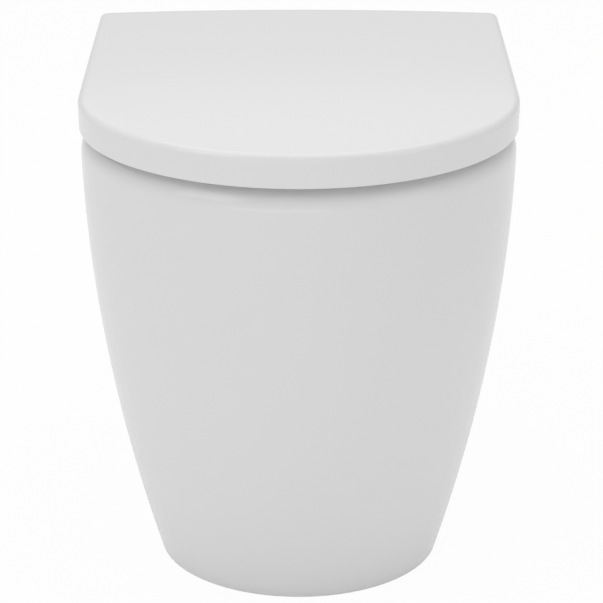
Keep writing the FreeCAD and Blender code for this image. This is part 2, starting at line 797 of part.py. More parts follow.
def hingePost(name, side):
    """A stainless post, flange and stud turned from one bar, with a groove for the latch clip."""
    body = newBody(name, side + "post_x", "axis_y", "pan_height")
    profile = newSketch(body, "profile", "XZ")
    top = "axis_lift + post_top"
    low = "axis_lift - groove_drop - groove_height/2"
    high = "axis_lift - groove_drop + groove_height/2"
    polygon(profile, [
        ("0", "-stud_length"), ("stud_width/2", "-stud_length"), ("stud_width/2", "gasket_thickness"),
        ("flange_width/2", "gasket_thickness"), ("flange_width/2", "flange_top"),
        ("post_width/2", "flange_top"),
        ("post_width/2", low), ("post_width/2 - groove_depth", low), ("post_width/2 - groove_depth", high),
        ("post_width/2", high), ("post_width/2", top + " - post_chamfer"),
        ("post_width/2 - post_chamfer", top), ("0", top)])
    revolve(body, profile, "profile")
    return body


def postGasket(name, side):
    disc = cylinder("gasket_disc", "gasket_width/2", "gasket_thickness", side + "post_x", "axis_y",
                    "pan_height")
    hole = cylinder("gasket_hole", "stud_width/2 + running_gap", "gasket_thickness + 2*overrun",
                    side + "post_x", "axis_y", "pan_height - overrun")
    return cut(name, disc, hole)


def expansionPlug(name, side):
    """The sleeve that grips the deck from below when its nut is drawn up."""
    body = newBody(name, side + "post_x", "axis_y", "pan_height")
    profile = newSketch(body, "profile", "XZ")
    grip = "-deck_thickness - fit_gap"
    polygon(profile, [
        ("stud_width/2 + running_gap", "-plug_length"), ("plug_flare/2", "-plug_length"),
        ("plug_flare/2", grip), ("deck_hole/2 - fit_gap", grip), ("deck_hole/2 - fit_gap", "0"),
        ("stud_width/2 + running_gap", "0")])
    revolve(body, profile, "profile")
    return body


def plugNuts():
    nuts = []
    for side in ("", "-"):
        base = "pan_height - plug_length - nut_height"
        hexagon = primitive("Prism", "nut_hexagon", side + "post_x", "axis_y", base,
                            Circumradius="nut_width/2/cos(30)", Height="nut_height")
        hole = cylinder("nut_hole", "stud_width/2 + running_gap", "nut_height + 2*overrun", side + "post_x",
                        "axis_y", base + " - overrun")
        nuts.append(cut("plug_nut", hexagon, hole))
    return group("plug_nuts", *nuts)


# The hinge blocks that drop over the posts and carry both shafts on one axis

def hingeBody(name, side):
    """A sub-part whose own origin lies on the hinge axis over a post."""
    return newBody(name, side + "post_x", "axis_y", "axis_z")


def hingeBlock(name, side):
    body = hingeBody(name, side)
    barrel = newSketch(body, "barrel", "YZ")
    circle(barrel, "0", "0", "hinge_radius")
    pad(body, barrel, "block_width", "barrel", both=True)
    base = newSketch(body, "base", "YZ")
    rectangle(base, "-hinge_radius", "block_rear", "-block_base", "0")
    pad(body, base, "block_width", "base", both=True)
    bore = newSketch(body, "bore", "XY", "-block_base")
    circle(bore, "0", "0", "post_width/2 + running_gap")
    pocket(body, bore, "block_base + post_top + fit_gap", "bore", reverse=True)
    for end, reverse in (("", False), ("-", True)):
        socket = newSketch(body, "socket" + ("_low" if reverse else "_high"), "YZ", end + "block_width/2")
        flatRound(socket, "shaft_width/2 + running_gap", "shaft_flat")
        pocket(body, socket, "shaft_seat + fit_gap", "socket", reverse=reverse)
    slot = newSketch(body, "clip_slot", "XY", "groove_z - groove_height/2")
    slotHalf = "clip_leg + clip_wire/2 + fit_gap"
    rectangle(slot, "-(%s)" % slotHalf, slotHalf, "-hinge_radius", "clip_tail + clip_wire/2")
    pocket(body, slot, "groove_height", "clip_slot", reverse=True)
    window = newSketch(body, "button_window", "XZ", "hinge_radius")
    rectangle(window, "-button_width/2 - fit_gap", "button_width/2 + fit_gap",
              "-button_drop - button_height/2 - fit_gap", "-button_drop + button_height/2 + fit_gap")
    pocket(body, window, "button_depth - button_proud + button_stroke + fit_gap", "button_window")
    return body


def releaseButton(name, side):
    body = hingeBody(name, side)
    face = newSketch(body, "face", "XZ", "hinge_radius + button_proud")
    rectangle(face, "-button_width/2", "button_width/2", "-button_drop - button_height/2",
              "-button_drop + button_height/2")
    pad(body, face, "button_depth", "face", reverse=True)
    front = value("-hinge_radius - button_proud")
    feature = dress(body, "PartDesign::Chamfer", "face_edge",
                    lambda edge: abs(edge.BoundBox.YMax - front) < 1e-3)
    bind(feature, Size="button_chamfer")
    return body


def latchClip(name, side):
    """A sprung wire whose two legs lie in the post's groove."""
    body = hingeBody(name, side)
    corners = [("-clip_leg", "clip_tail")]
    for step in range(clipTurns):
        angle = "180*%.6g" % ((step + 0.5) / clipTurns)
        reach = "clip_leg/cos(90/%d)" % clipTurns
        corners.append(("-%s*cos(%s)" % (reach, angle), "-clip_bend_front - %s*sin(%s)" % (reach, angle)))
    corners.append(("clip_leg", "clip_tail"))
    path = newSketch(body, "path", "XY", "groove_z")
    polyline(path, corners)
    wire = newSketch(body, "wire", "XZ", "-clip_tail")
    circle(wire, "-clip_leg", "groove_z", "clip_wire/2")
    pipe(body, wire, path, "wire")
    return body


def hingeShaft(name, side, end):
    """A stub with one flat, pressed into the block at one end and turned on by a lug or a damper."""
    body = hingeBody(name, side)
    section = newSketch(body, "section", "YZ", end + "(block_width/2 - shaft_seat)")
    flatRound(section, "shaft_width/2", "shaft_flat")
    pad(body, section, "shaft_seat + fit_gap + shaft_reach", "section", reverse=bool(end))
    return body


def damper(name, side, end):
    """A closed rotary damper that fills its lug and holds the shaft in its mouth."""
    body = hingeBody(name, side)
    case = newSketch(body, "case", "YZ", end + "lug_start")
    circle(case, "0", "0", "damper_width/2")
    pad(body, case, "damper_length", "case", reverse=bool(end))
    mouth = newSketch(body, "mouth", "YZ", end + "lug_start")
    circle(mouth, "0", "0", "shaft_bore")
    pocket(body, mouth, "shaft_reach + bore_end", "mouth", reverse=not end)
    return body


def addLugs(body, ends):
    """Two solid lugs on the hinge axis, one beside each hinge block."""
    for side in ("", "-"):
        end = ends[side]
        place = "%spost_x %s lug_start" % (side, end)
        lug = newSketch(body, "lug" + ("_left" if side else "_right"), "YZ", place)
        circle(lug, "axis_y", "axis_z", "hinge_radius")
        pad(body, lug, "lug_length", "lug", reverse=end == "-")


def boreLugs(body, ends, dampedSide):
    """Bore one lug for its damper and the other for a plain shaft."""
    for side in ("", "-"):
        end = ends[side]
        place = "%spost_x %s lug_start" % (side, end)
        bore = newSketch(body, "lug_bore" + ("_left" if side else "_right"), "YZ", place)
        damped = side == dampedSide
        circle(bore, "axis_y", "axis_z", "damper_width/2 + running_gap" if damped else "shaft_bore")
        pocket(body, bore, "%s + bore_end" % ("damper_length" if damped else "shaft_reach"), "lug_bore",
               reverse=end == "+")


# The seat

def ringRows(low, high, radius, sign):
    """Rows of height and inset that round the top edge of an upright wall."""
    rows = [(low, "0")]
    for drop, draw in zip(rimDropShares, rimInsetShares):
        rows.append(("%s - %s*%g" % (high, radius, drop), "(%s%s*%g)" % (sign, radius, draw)))
    return rows


def bufferSpots():
    """Places of the four buffers on the middle of the ring."""
    return [(side + "pad_ring*%s_side_share" % name, "seat_centre_y %s pad_ring*%s_share" % (way, name + end))
            for side in ("", "-")
            for name, way, end in (("front_buffer", "-", "_fore"), ("back_buffer", "+", "_aft"))]


def seatRing():
    body = newBody("seat_ring")
    sections = []
    for height, drawn in ringRows("seat_under", "seat_top", "seat_outer_radius", ""):
        sketch = newSketch(body, "outline_%d" % len(sections), "XY", height)
        dOutline(sketch, "(seat_half - %s)" % drawn, "seat_centre_y", "seat_back_y - %s" % drawn,
                 "seat_corner_radius - %s" % drawn)
        sections.append(sketch)
    loft(body, sections, "outline", ruled=True)
    ends = {"": "+", "-": "-"}
    addLugs(body, ends)
    for side, end in ends.items():
        arm = newSketch(body, "arm" + ("_left" if side else "_right"), "YZ",
                        "%spost_x %s lug_start" % (side, end))
        rectangle(arm, "seat_back_y - seat_corner_radius", "axis_y", "seat_top - arm_thickness", "seat_top")
        pad(body, arm, "lug_length", "arm", reverse=end == "-")
    sections = []
    for height, drawn in ringRows("seat_under", "seat_top", "seat_inner_radius", "-"):
        sketch = newSketch(body, "hole_%d" % len(sections), "XY", height)
        slotOutline(sketch, "(seat_hole_half - %s)" % drawn, "front_y + seat_hole_front + %s" % drawn,
                    "front_y + seat_hole_front + seat_hole_length - %s" % drawn)
        sections.append(sketch)
    loft(body, sections, "hole", cut=True, ruled=True)
    boreLugs(body, ends, "-")
    return body


def buffers(name, width, under, over):
    """Four pads that fill the gap between two heights, but for a hair under them."""
    pads = [cylinder(name + "_pad", "%s/2" % width, "%s - %s - fit_gap" % (over, under), x, y,
                     under + " + fit_gap")
            for x, y in bufferSpots()]
    return group(name, *pads)


# The lid

def lidCover():
    body = newBody("lid")
    rows = [("lid_bottom", "lid_draft"), ("pan_height + lid_shoulder", "0")]
    rows += [("pan_height + lid_shoulder + (lid_top - lid_shoulder)*%g" % rise, "lid_edge_radius*%g" % draw)
             for rise, draw in zip(lidRiseShares, lidInsetShares)]
    sections = []
    for height, drawn in rows:
        sketch = newSketch(body, "outline_%d" % len(sections), "XY", height)
        dOutline(sketch, "(lid_half - %s)" % drawn, "lid_centre_y", "lid_back_y - (%s)" % drawn,
                 "lid_corner_radius")
        sections.append(sketch)
    loft(body, sections, "outline", ruled=True)
    # the top's crown is a slice of a very large ring, across the lid and along it
    middle = "(front_y + lid_back_y)/2"
    crown = newSketch(body, "crown", "XZ", "-(%s)" % middle, up="pan_height + lid_top - crown_along")
    high = "crown_along + 2*overrun"
    lean = math.asin(value("lid_half/crown_across")) / (math.pi / 2)
    low = "crown_along - crown_across + crown_across*cos(asin(lid_half/crown_across))"
    edges = [
        arc(crown, ("0", "crown_along - crown_across"), "crown_across", 1 - lean, 1 + lean),
        line(crown, ("-lid_half", low), ("-lid_half", high)),
        line(crown, ("-lid_half", high), ("lid_half", high)),
        line(crown, ("lid_half", high), ("lid_half", low)),
    ]
    join(crown, edges)
    fix(crown, edges[0], 1, "lid_half", None)
    fix(crown, edges[0], 2, "-lid_half", None)
    fix(crown, edges[2], 1, "-lid_half", high)
    fix(crown, edges[3], 1, "lid_half", high)
    groove = body.newObject("PartDesign::Groove", "lid_crown_cut")
    groove.Profile = crown
    groove.ReferenceAxis = (crown, ["H_Axis"])
    groove.Midplane = True
    bind(groove, Angle="2*atan(projection/crown_along)")
    hollow = newSketch(body, "hollow", "XY", "lid_bottom")
    dOutline(hollow, "(lid_half - lid_draft - lid_wall)", "lid_centre_y", "lid_back_y - lid_wall",
             "lid_corner_radius - lid_wall/2")
    pocket(body, hollow, "lid_under - lid_bottom", "hollow", reverse=True)
    gap = newSketch(body, "hinge_gap", "XY", "lid_bottom")
    rectangle(gap, "-hinge_gap_half", "hinge_gap_half", "lid_back_y - lid_wall - overrun",
              "lid_back_y + overrun")
    pocket(body, gap, "lid_under - lid_bottom", "hinge_gap", reverse=True)
    heel = newSketch(body, "heel", "YZ")
    turnY, turnZ = "lid_back_y - lid_heel_radius", "lid_bottom + lid_heel_radius"
    outY, downZ = "lid_back_y + overrun", "lid_bottom - overrun"
    edges = [
        arc(heel, (turnY, turnZ), "lid_heel_radius", 3, 4),
        line(heel, ("lid_back_y", turnZ), (outY, turnZ)),
        line(heel, (outY, turnZ), (outY, downZ)),
        line(heel, (outY, downZ), (turnY, downZ)),
        line(heel, (turnY, downZ), (turnY, "lid_bottom")),
    ]
    join(heel, edges)
    fix(heel, edges[0], 1, turnY, None)
    fix(heel, edges[0], 2, None, turnZ)
    for edge, corner in zip(edges[2:], ((outY, turnZ), (outY, downZ), (turnY, downZ))):
        fix(heel, edge, 1, *corner)
    pocket(body, heel, "2*lid_half + overrun", "heel", both=True)
    ends = {"": "-", "-": "+"}
    addLugs(body, ends)
    for side, end in ends.items():
        web = newSketch(body, "web" + ("_left" if side else "_right"), "YZ",
                        "%spost_x %s lug_start" % (side, end))
        rectangle(web, "axis_y - hinge_radius", "axis_y + hinge_radius/2", "axis_z", "lid_under + lid_wall/2")
        pad(body, web, "lug_length", "web", reverse=end == "-")
    boreLugs(body, ends, "")
    return body


def pair(name, make):
    """The same piece on the left and on the right, in one node."""
    return group(name, make(name + "_left_one", "-"), make(name + "_right_one", ""))


finished = [
    panSkirt(),
    panDeck(),
    *panForms(),
    flushDistributor(),
    inletSeal(),
    sideScrews(),
    pair("side_caps", sideCap),
    pair("hinge_posts", hingePost),
    pair("post_gaskets", postGasket),
    pair("expansion_plugs", expansionPlug),
    plugNuts(),
    pair("latch_clips", latchClip),
    seatRing(),
    buffers("seat_buffers", "buffer_width", "pan_height", "seat_under"),
    lidCover(),
    buffers("lid_buffers", "lid_buffer_width", "seat_top", "lid_under"),
    damper("lid_damper", "", "-"),
    hingeShaft("lid_damper_shaft", "", "-"),
    hingeShaft("lid_pivot_shaft", "-", ""),
    damper("seat_damper", "-", "-"),
    hingeShaft("seat_damper_shaft", "-", "-"),
    hingeShaft("seat_pivot_shaft", "", ""),
]
for hand, side in (("left", "-"), ("right", "")):
    finished += [
        floorBracket("floor_bracket_" + hand, side),
        hingeBlock("hinge_block_" + hand, side),
        releaseButton("release_button_" + hand, side),
    ]

doc.recompute()
faults = ["%s: %s" % (thing.Name, ", ".join(thing.State)) for thing in doc.Objects
          if "Invalid" in thing.State or "Error" in thing.State]
faults += ["%s has no sound solid" % part.Label for part in finished
           if part.Shape.isNull() or not part.Shape.isValid() or not part.Shape.Solids]
if faults:
    raise SystemExit("\n".join(faults))

os.makedirs("parts", exist_ok=True)
for part in finished:
    part.Shape.exportStep("parts/%s.step" % part.Label)
    print("%-24s %2d solid, %9.2f cm3" % (part.Label, len(part.Shape.Solids), part.Shape.Volume / 1000))
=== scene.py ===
import bmesh
import bpy
import math
from mathutils import Matrix, Vector


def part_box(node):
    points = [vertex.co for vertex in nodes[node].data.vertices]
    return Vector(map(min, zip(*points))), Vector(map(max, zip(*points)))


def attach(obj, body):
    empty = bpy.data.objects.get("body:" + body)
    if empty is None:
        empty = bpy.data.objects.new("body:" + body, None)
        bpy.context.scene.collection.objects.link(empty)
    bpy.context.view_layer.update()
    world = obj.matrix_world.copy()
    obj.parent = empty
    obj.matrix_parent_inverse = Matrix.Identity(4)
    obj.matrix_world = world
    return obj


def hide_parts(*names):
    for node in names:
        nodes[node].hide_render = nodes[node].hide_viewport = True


# A back-to-wall rimless toilet, seen from the front and a little above.
# The CAD frame gives the metal, rubber and hinge pieces. The pan, the seat ring and the lid are modelled
# here with smooth skins of the same sizes.

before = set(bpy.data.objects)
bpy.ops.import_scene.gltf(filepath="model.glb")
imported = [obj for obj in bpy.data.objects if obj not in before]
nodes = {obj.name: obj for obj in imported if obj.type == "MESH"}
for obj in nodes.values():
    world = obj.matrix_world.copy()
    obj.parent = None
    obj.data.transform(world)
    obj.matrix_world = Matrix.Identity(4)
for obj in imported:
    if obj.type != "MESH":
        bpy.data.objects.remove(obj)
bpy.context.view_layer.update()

panNodes = ("pan_skirt", "pan_deck", "pan_lip", "pan_bowl", "pan_sump", "pan_trapway", "pan_inlet")
deckLow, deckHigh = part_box("pan_deck")
lidLow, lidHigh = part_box("lid")
ringLow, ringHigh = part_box("seat_ring")
blockLow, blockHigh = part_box("hinge_block_right")
damperLow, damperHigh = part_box("lid_damper")
capLow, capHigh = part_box("side_caps")

frontY = lidLow.y
wallY = deckHigh.y
deckZ = deckHigh.z
axisY = (damperLow.y + damperHigh.y) / 2
axisZ = (damperLow.z + damperHigh.z) / 2
postX = (blockLow.x + blockHigh.x) / 2
over = 0.005  # how far a cutting tool stands out of what it cuts
weld = 0.000002  # vertices closer than this are one
sharpAngle = math.radians(35)  # faces that meet at more than this keep a sharp edge
print("frame loaded:", len(nodes), "nodes")


# Mesh helpers

# a row of vertices joined by edges
def startRow(bm, places, closed=True):
    row = [bm.verts.new(place) for place in places]
    ends = row[1:] + row[:1] if closed else row[1:]
    for one, other in zip(row, ends):
        bm.edges.new((one, other))
    return row


# extrude a row's edges and set the new row at its places
def drawOut(bm, row, places, closed=True):
    ends = row[1:] + row[:1] if closed else row[1:]
    edges = [bm.edges.get((one, other)) for one, other in zip(row, ends)]
    made = bmesh.ops.extrude_edge_only(bm, edges=edges)
    fresh = {item for item in made["geom"] if isinstance(item, bmesh.types.BMVert)}
    newRow = []
    for vert, place in zip(row, places):
        twin = next(edge.other_vert(vert) for edge in vert.link_edges if edge.other_vert(vert) in fresh)
        twin.co = place
        newRow.append(twin)
    return newRow


# a skin through rows of places that all have the same count
def drawRows(bm, rows, closed=True):
    row = startRow(bm, rows[0], closed)
    for places in rows[1:]:
        row = drawOut(bm, row, places, closed)
    return row


def closeRow(bm, row):
    edges = [bm.edges.get((one, other)) for one, other in zip(row, row[1:] + row[:1])]
    bmesh.ops.edgeloop_fill(bm, edges=edges)


# a finished mesh object with smooth faces, and sharp edges only where faces meet at an angle
def pieceFrom(name, bm, material=None):
    bmesh.ops.remove_doubles(bm, verts=bm.verts, dist=weld)
    bmesh.ops.recalc_face_normals(bm, faces=bm.faces)
    mesh = bpy.data.meshes.new(name)
    bm.to_mesh(mesh)
    bm.free()
    mesh.shade_smooth()
    mesh.set_sharp_from_angle(angle=sharpAngle)
    if material:
        mesh.materials.append(material)
    piece = bpy.data.objects.new(name, mesh)
    bpy.context.scene.collection.objects.link(piece)
    return piece


# join closed tools to a piece or cut them out of it, and keep the outcome as its mesh
def carve(piece, tools, operation):
    for tool in tools:
        change = piece.modifiers.new(tool.name, "BOOLEAN")
        change.operation = operation
        change.object = tool
        change.solver = "EXACT"
    bpy.context.view_layer.update()
    carved = piece.evaluated_get(bpy.context.evaluated_depsgraph_get())
    shaped = bpy.data.meshes.new_from_object(carved)
    piece.modifiers.clear()
    piece.data = shaped
    shaped.shade_smooth()
    shaped.set_sharp_from_angle(angle=sharpAngle)
    for tool in tools:
        bpy.data.objects.remove(tool)


# a closed cylinder between two places
def rod(name, radius, start, end, steps=48):
    bm = bmesh.new()
    along = Vector(end) - Vector(start)
    turn = along.to_track_quat("Z", "Y").to_matrix().to_4x4()
    place = Matrix.Translation((Vector(start) + Vector(end)) / 2)
    bmesh.ops.create_cone(bm, cap_ends=True, segments=steps, radius1=radius, radius2=radius,
                          depth=along.length, matrix=place @ turn)
    return pieceFrom(name, bm)


# a closed block between two corners, with rounded edges where a round is given
def brick(name, low, high, edgeRound=0.0):
    bm = bmesh.new()
    stretch = Matrix.Diagonal((*(Vector(high) - Vector(low)), 1))
    place = Matrix.Translation((Vector(low) + Vector(high)) / 2)
    bmesh.ops.create_cube(bm, size=1, matrix=place @ stretch)
    if edgeRound:
        bmesh.ops.bevel(bm, geom=bm.edges[:], offset=edgeRound, segments=3, profile=0.5, affect="EDGES")
    return pieceFrom(name, bm)


# an outline in the YZ plane drawn out right across the part
def bar(name, outline, half):
    bm = bmesh.new()
    row = startRow(bm, [Vector((-half, y, z)) for y, z in outline])
    closeRow(bm, row)
    closeRow(bm, drawOut(bm, row, [Vector((half, y, z)) for y, z in outline]))
    return pieceFrom(name, bm)


def between(low, high, share):
    return low + (high - low) * share


def atHeight(places, height):
    return [Vector((place.x, place.y, height)) for place in places]


def fromAbove(places):
    return [Vector((place.x, place.y)) for place in places]


# points of an arc in the XY plane, both ends included, angles in degrees
def arcPlaces(centre, radius, first, last, steps):
    places = []
    for step in range(steps + 1):
        angle = math.radians(between(first, last, step / steps))
        places.append(Vector((centre[0] + radius * math.cos(angle), centre[1] + radius * math.sin(angle))))
    return places


# how many steps the outlines of the pan, the lid and the seat take
outlineSteps = {
    "nose": 80,  # the half circle at the front
    "side": 16,
    "back": 24,
    "corner": 6,
}


# from the left back end, round the nose, to the right back end
def uPath(half, centreY, backY):
    steps = outlineSteps["side"]
    nose = arcPlaces((0, centreY), half, 180, 360, outlineSteps["nose"])
    left = [Vector((-half, between(backY, centreY, step / steps))) for step in range(steps)]
    right = [Vector((half, between(centreY, backY, (step + 1) / steps))) for step in range(steps)]
    return left + nose + right


# the back edge from right to left, without its ends
def backPath(half, backY):
    steps = outlineSteps["back"]
    return [Vector((between(half, -half, step / steps), backY)) for step in range(1, steps)]


# a closed outline: half round nose, straight sides, round back corners
def dLoop(half, centreY, backY, corner):
    steps, turnSteps = outlineSteps["side"], outlineSteps["corner"]
    turnY = backY - corner
    nose = arcPlaces((0, centreY), half, 180, 360, outlineSteps["nose"])
    right = [Vector((half, between(centreY, turnY, step / steps))) for step in range(1, steps)]
    rightTurn = arcPlaces((half - corner, turnY), corner, 0, 90, turnSteps)
    back = backPath(half - corner, backY)
    leftTurn = arcPlaces((corner - half, turnY), corner, 90, 180, turnSteps)
    left = [Vector((-place.x, place.y)) for place in reversed(right)]
    return nose + right + rightTurn + back + leftTurn + left


# a slot's outline round a spine from front to back: the place on it that each seed looks at
def slotPlaces(seeds, half, spine):
    places = []
    for seed in seeds:
        spineY = min(max(seed.y, spine[0]), spine[1])
        away = (seed - Vector((0, spineY))).normalized()
        places.append(Vector((away.x * half, spineY + away.y * half)))
    return places


# drop and draw-in of a quarter round, from the upright side to the flat top
def roundRows(radius, steps):
    turns = [math.radians(90 * step / steps) for step in range(steps + 1)]
    return [(radius * (1 - math.sin(turn)), radius * (1 - math.cos(turn))) for turn in turns]


# Materials

# an sRGB hex colour as linear red, green, blue and full cover
def linearColour(code):
    parts = [int(code[place:place + 2], 16) / 255 for place in (1, 3, 5)]
    return [part / 12.92 if part <= 0.04045 else ((part + 0.055) / 1.055) ** 2.4 for part in parts] + [1.0]


# add a node to a material or a world, set its properties and inputs, and link inputs to outputs
def addNode(owner, kind, settings=None, links=None):
    node = owner.node_tree.nodes.new(kind)
    for name, setting in (settings or {}).items():
        if isinstance(name, int) or name in node.inputs:
            node.inputs[name].default_value = setting
        else:
            setattr(node, name, setting)
    for name, (source, output) in (links or {}).items():
        owner.node_tree.links.new(source.outputs[output], node.inputs[name])
    return node


def newMaterial(name, colour, **sockets):
    material = bpy.data.materials.new(name)
    material.use_nodes = True
    shader = material.node_tree.nodes["Principled BSDF"]
    shader.inputs["Base Color"].default_value = linearColour(colour)
    for socket, setting in sockets.items():
        shader.inputs[socket.replace("_", " ")].default_value = setting
    material.diffuse_color = linearColour(colour)
    return material, shader


# a fine uneven surface whose bumps are about sizeMm across
def ripple(material, shader, sizeMm, heightMm, strength):
    place = addNode(material, "ShaderNodeTexCoord")
    noise = addNode(material, "ShaderNodeTexNoise", {"Scale": 1000 / sizeMm, "Detail": 2.0, "Roughness": 0.5},
                    {"Vector": (place, "Object")})
    bump = addNode(material, "ShaderNodeBump", {"Strength": strength, "Distance": heightMm / 1000},
                   {"Height": (noise, "Fac")})
    material.node_tree.links.new(bump.outputs["Normal"], shader.inputs["Normal"])
    return noise


def glazedChina():
    # Fired glaze over white clay: a clear, wet-looking gloss with a very slow ripple.
    material, shader = newMaterial("glazedVitreousChina", "#eeeeee", Roughness=0.16, IOR=1.5)
    ripple(material, shader, 34, 0.25, 0.25)
    return material


def ureaResin():
    # Compression-moulded urea resin: hard, white and glossy, with a truer shine than the rippled glaze.
    material, shader = newMaterial("mouldedUreaResin", "#f0f0f0", Roughness=0.11, IOR=1.5)
    ripple(material, shader, 26, 0.12, 0.2)
    return material


def whiteAbs():
    # Injection-moulded ABS: white, satin.
    material, shader = newMaterial("mouldedWhiteAbs", "#e9e9e8", Roughness=0.35, IOR=1.52)
    ripple(material, shader, 1.2, 0.01, 0.15)
    return material


def greyNylon():
    # Glass-filled nylon: a mid grey with a fine dry grain.
    material, shader = newMaterial("glassFilledNylon", "#9b9c9f", Roughness=0.55, IOR=1.53)
    ripple(material, shader, 0.8, 0.02, 0.3)
    return material


def greyAcetal():
    # Moulded acetal of the push buttons: pale grey, waxy.
    material, shader = newMaterial("mouldedAcetal", "#bfc0c2", Roughness=0.4, IOR=1.48)
    ripple(material, shader, 1.0, 0.01, 0.2)
    return material


def polishedChrome():
    # Chrome plate over cast zinc: a bright mirror with hair-fine polishing haze.
    material, shader = newMaterial("platedChrome", "#d6d8da", Metallic=1.0, Roughness=0.1)
    noise = ripple(material, shader, 2.0, 0.004, 0.2)
    haze = addNode(material, "ShaderNodeMapRange", {"To Min": 0.07, "To Max": 0.15},
                   {"Value": (noise, "Fac")})
    material.node_tree.links.new(haze.outputs["Result"], shader.inputs["Roughness"])
    return material


def turnedSteel():
    # Stainless bar turned in a lathe: fine rings round the post, drawn coarser than real so that they show.
    ringMm = 1.25
    material, shader = newMaterial("turnedStainlessSteel", "#b9babc", Metallic=1.0, Roughness=0.28)
    place = addNode(material, "ShaderNodeTexCoord")
    rings = addNode(material, "ShaderNodeTexWave",
                    {"bands_direction": "Z", "Scale": 100 * math.pi / ringMm, "Distortion": 0.3},
                    {"Vector": (place, "Object")})
    bump = addNode(material, "ShaderNodeBump", {"Strength": 0.15, "Distance": 0.00002},
                   {"Height": (rings, "Fac")})
    material.node_tree.links.new(bump.outputs["Normal"], shader.inputs["Normal"])
    return material


def zincSteel():
    # Zinc-plated steel screws and nuts: cool, cloudy metal.
    material, shader = newMaterial("zincPlatedSteel", "#a9adb1", Metallic=1.0, Roughness=0.35)
    noise = ripple(material, shader, 3.0, 0.01, 0.2)
    cloud = addNode(material, "ShaderNodeMapRange", {"To Min": 0.25, "To Max": 0.5},
                    {"Value": (noise, "Fac")})
    material.node_tree.links.new(cloud.outputs["Result"], shader.inputs["Roughness"])
    return material


def blackRubber():
    # EPDM rubber: near black, matt, with a faint bloom.
    material, shader = newMaterial("mouldedEpdm", "#1e1e1f", Roughness=0.7, IOR=1.5)
    ripple(material, shader, 1.5, 0.03, 0.3)
    return material


def greyRubber():
    # Soft washer rubber under the hinge posts: mid grey, matt.
    material, shader = newMaterial("washerRubber", "#6d6e70", Roughness=0.75, IOR=1.5)
    ripple(material, shader, 1.2, 0.02, 0.3)
    return material


def clearSilicone():
    # Milky silicone pads: pale, soft and slightly see-through.
    material, shader = newMaterial("milkySilicone", "#dfe0e0", Roughness=0.45, IOR=1.41,
                                   Subsurface_Weight=0.3, Subsurface_Scale=0.002)
    ripple(material, shader, 2.0, 0.02, 0.2)
    return material


china = glazedChina()
resin = ureaResin()
acetal = greyAcetal()
finishes = {
    whiteAbs(): ("flush_distributor", "side_caps"),
    blackRubber(): ("inlet_seal", "expansion_plugs"),
    greyRubber(): ("post_gaskets",),
    zincSteel(): ("side_screws", "plug_nuts"),
    greyNylon(): ("floor_bracket_left", "floor_bracket_right", "seat_damper", "lid_damper"),
    polishedChrome(): ("hinge_block_left", "hinge_block_right"),
    turnedSteel(): ("hinge_posts", "latch_clips", "lid_damper_shaft", "lid_pivot_shaft", "seat_damper_shaft",
                    "seat_pivot_shaft"),
    clearSilicone(): ("seat_buffers", "lid_buffers"),
}
for material, names in finishes.items():
    for name in names:
        nodes[name].data.materials.clear()
        nodes[name].data.materials.append(material)
print("finishes on", sum(len(names) for names in finishes.values()), "nodes")


# The pan

panLook = {
    "footWidth": 0.244,
    "footSetback": 0.106,  # from the lid's nose back to the foot's
    "swellPower": 1.81,  # 1 is a straight side, more bulges it out below the rim
    "footLeanShare": 1.67,  # how much faster than a straight side it widens near the floor
    "wall": 0.012,
    "deck": 0.014,
    "rimRound": 0.018,
    "footRound": 0.002,
    "bowlFront": 0.045,  # from the lid's nose back to the bowl
    "bowlLength": 0.335,
    "bowlWidth": 0.276,
    "bowlWall": 0.011,
    "deckShares": (0, 0.35, 0.7, 0.95),  # rows of the deck on the way in to the lip
    "lipDepth": 0.038,
    "lipRound": 0.006,
    "cove": 0.008,
    "evenFallShare": 0.32,  # the part of the bowl's fall that is even, the rest starts steep
    "fallPower": 2.1,
    "settleStartShare": 0.45,  # where on the way down the bowl starts to draw together over the sump
    "settlePower": 1.6,
    "sumpSetback": 0.255,
    "sumpHalf": 0.043,
    "sumpTop": 0.118,
    "sumpEdge": 0.012,  # how far above the sump the sweep ends
    # heights of the sump's rows, inside and outside, and their shares of its half width
    "sumpInside": ((0.118, 0.99), (0.095, 0.95), (0.075, 0.88), (0.06, 0.76), (0.05, 0.58), (0.045, 0.36),
                   (0.043, 0.15)),
    "sumpOutside": ((0.1, 1.0), (0.07, 0.93), (0.05, 0.8), (0.038, 0.58), (0.032, 0.3), (0.031, 0.12)),
    "neckIn": 0.003,  # how much narrower the bowl's outside starts than its neck
    "trapHeight": 0.08,
    "trapBore": 0.074,
    "trapWall": 0.012,
    "trapBodyStart": 0.036,  # from the sump's middle back to the start of the clay
    "riseStart": 0.318,  # from the lid's nose back to where the trap starts to rise
    "riseRadius": 0.058,
    "crownRadius": 0.052,
    "fallRadius": 0.054,
    "riseAngle": 60,
    "fallAngle": 34,
    "crownHeight": 0.204,
    "outletHeight": 0.18,
    "outletSetback": 0.016,
    "spigotWidth": 0.102,
    "spigotLength": 0.02,
    "inletHeight": 0.333,
    "inletSetback": 0.06,
    "socketBore": 0.055,
    "socketDepth": 0.034,
    "channelBore": 0.044,
    "inletWall": 0.011,
    "deckHole": 0.015,
    "boss": 0.032,
    "bossDepth": 0.013,
    "capPocket": 0.0204,
    "capDepth": 0.0075,
    "screwBore": 0.007,
    "hornOverlap": 0.002,  # how far behind the bowl the horn starts
    "channelReach": 0.05,  # how far the channel is cut forward of the bowl's back
}
bowlHalf = panLook["bowlWidth"] / 2
bowlFrontY = frontY + panLook["bowlFront"]
bowlBackY = bowlFrontY + panLook["bowlLength"]
bowlSpine = (bowlFrontY + bowlHalf, bowlBackY - bowlHalf)
sumpY = frontY + panLook["sumpSetback"]
ledgeZ = deckZ - panLook["lipDepth"]
